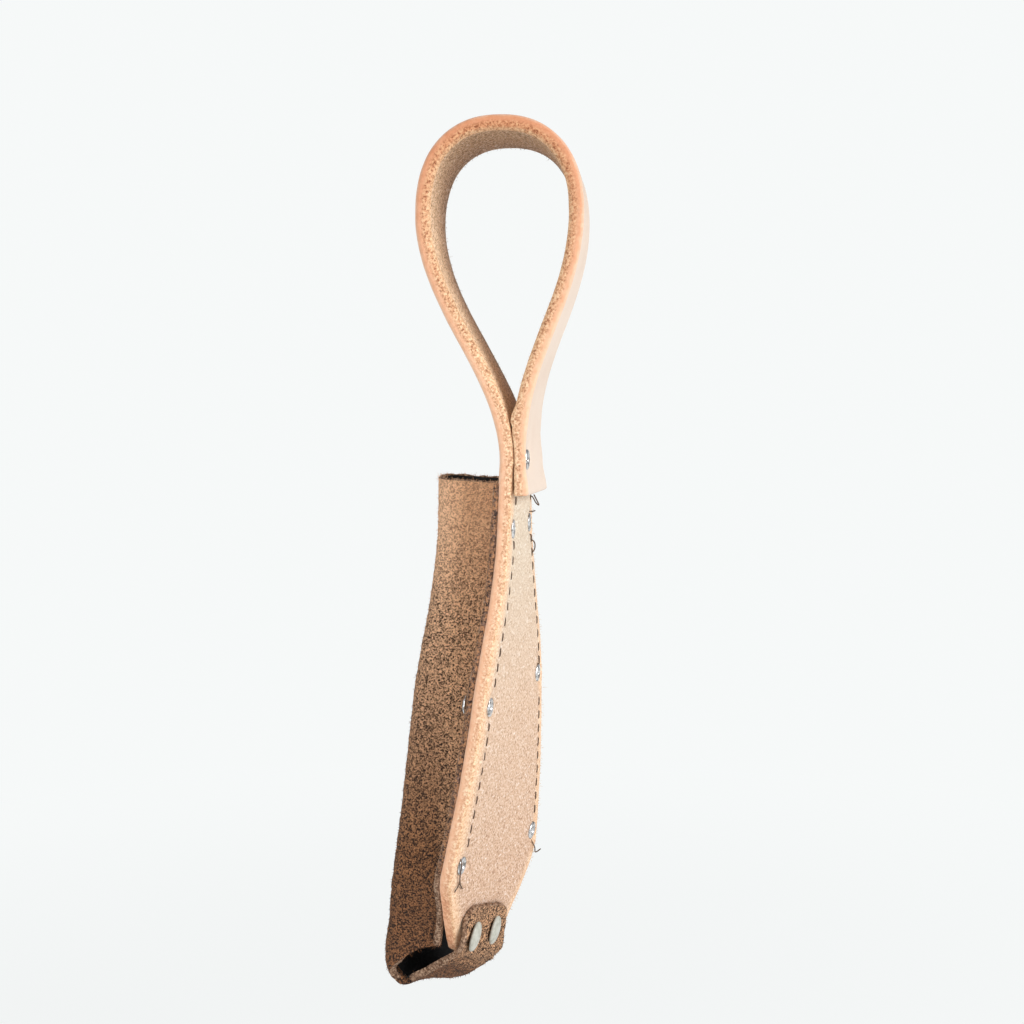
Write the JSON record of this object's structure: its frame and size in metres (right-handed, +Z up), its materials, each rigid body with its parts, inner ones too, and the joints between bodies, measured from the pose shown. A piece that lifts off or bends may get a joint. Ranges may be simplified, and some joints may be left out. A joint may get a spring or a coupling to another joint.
{
  "type": "leather tool sheath",
  "caption": "Hanging tool sheath: a thick tanned leather panel whose strap loops over a belt, with a sewn and riveted brown suede pouch whose tongue wraps under the foot.",
  "frame": {"origin": "inside top of the belt loop, where a belt or hook bears", "axes": "+Z up along the hang line, X across the panel's width at mid height, the pouch on the -Y side and the panel's bare back on the +Y side"},
  "size_m": [0.0543, 0.0568, 0.2397],
  "materials": {
    "tanned_leather": "smooth pale grain outside, sanded flesh side inside, cut edges left raw",
    "brown_suede": "napped brown suede outside, black inside, frayed cut edges",
    "bright_nickel": "bright nickel plate",
    "ivory_enamel": "ivory enamel, satin"
  },
  "bodies": {
    "root": {"panel_and_loop": "tanned_leather", "suede_pouch": "brown_suede", "side_rivet_right_1": "bright_nickel", "side_rivet_right_2": "bright_nickel", "side_rivet_right_3": "bright_nickel", "side_rivet_left_1": "bright_nickel", "side_rivet_left_2": "bright_nickel", "side_rivet_left_3": "bright_nickel", "strap_rivet": "bright_nickel", "tongue_post_right": "bright_nickel", "tongue_post_left": "bright_nickel", "tongue_cap_right": "ivory_enamel", "tongue_cap_left": "ivory_enamel"}
  },
  "joints": []
}
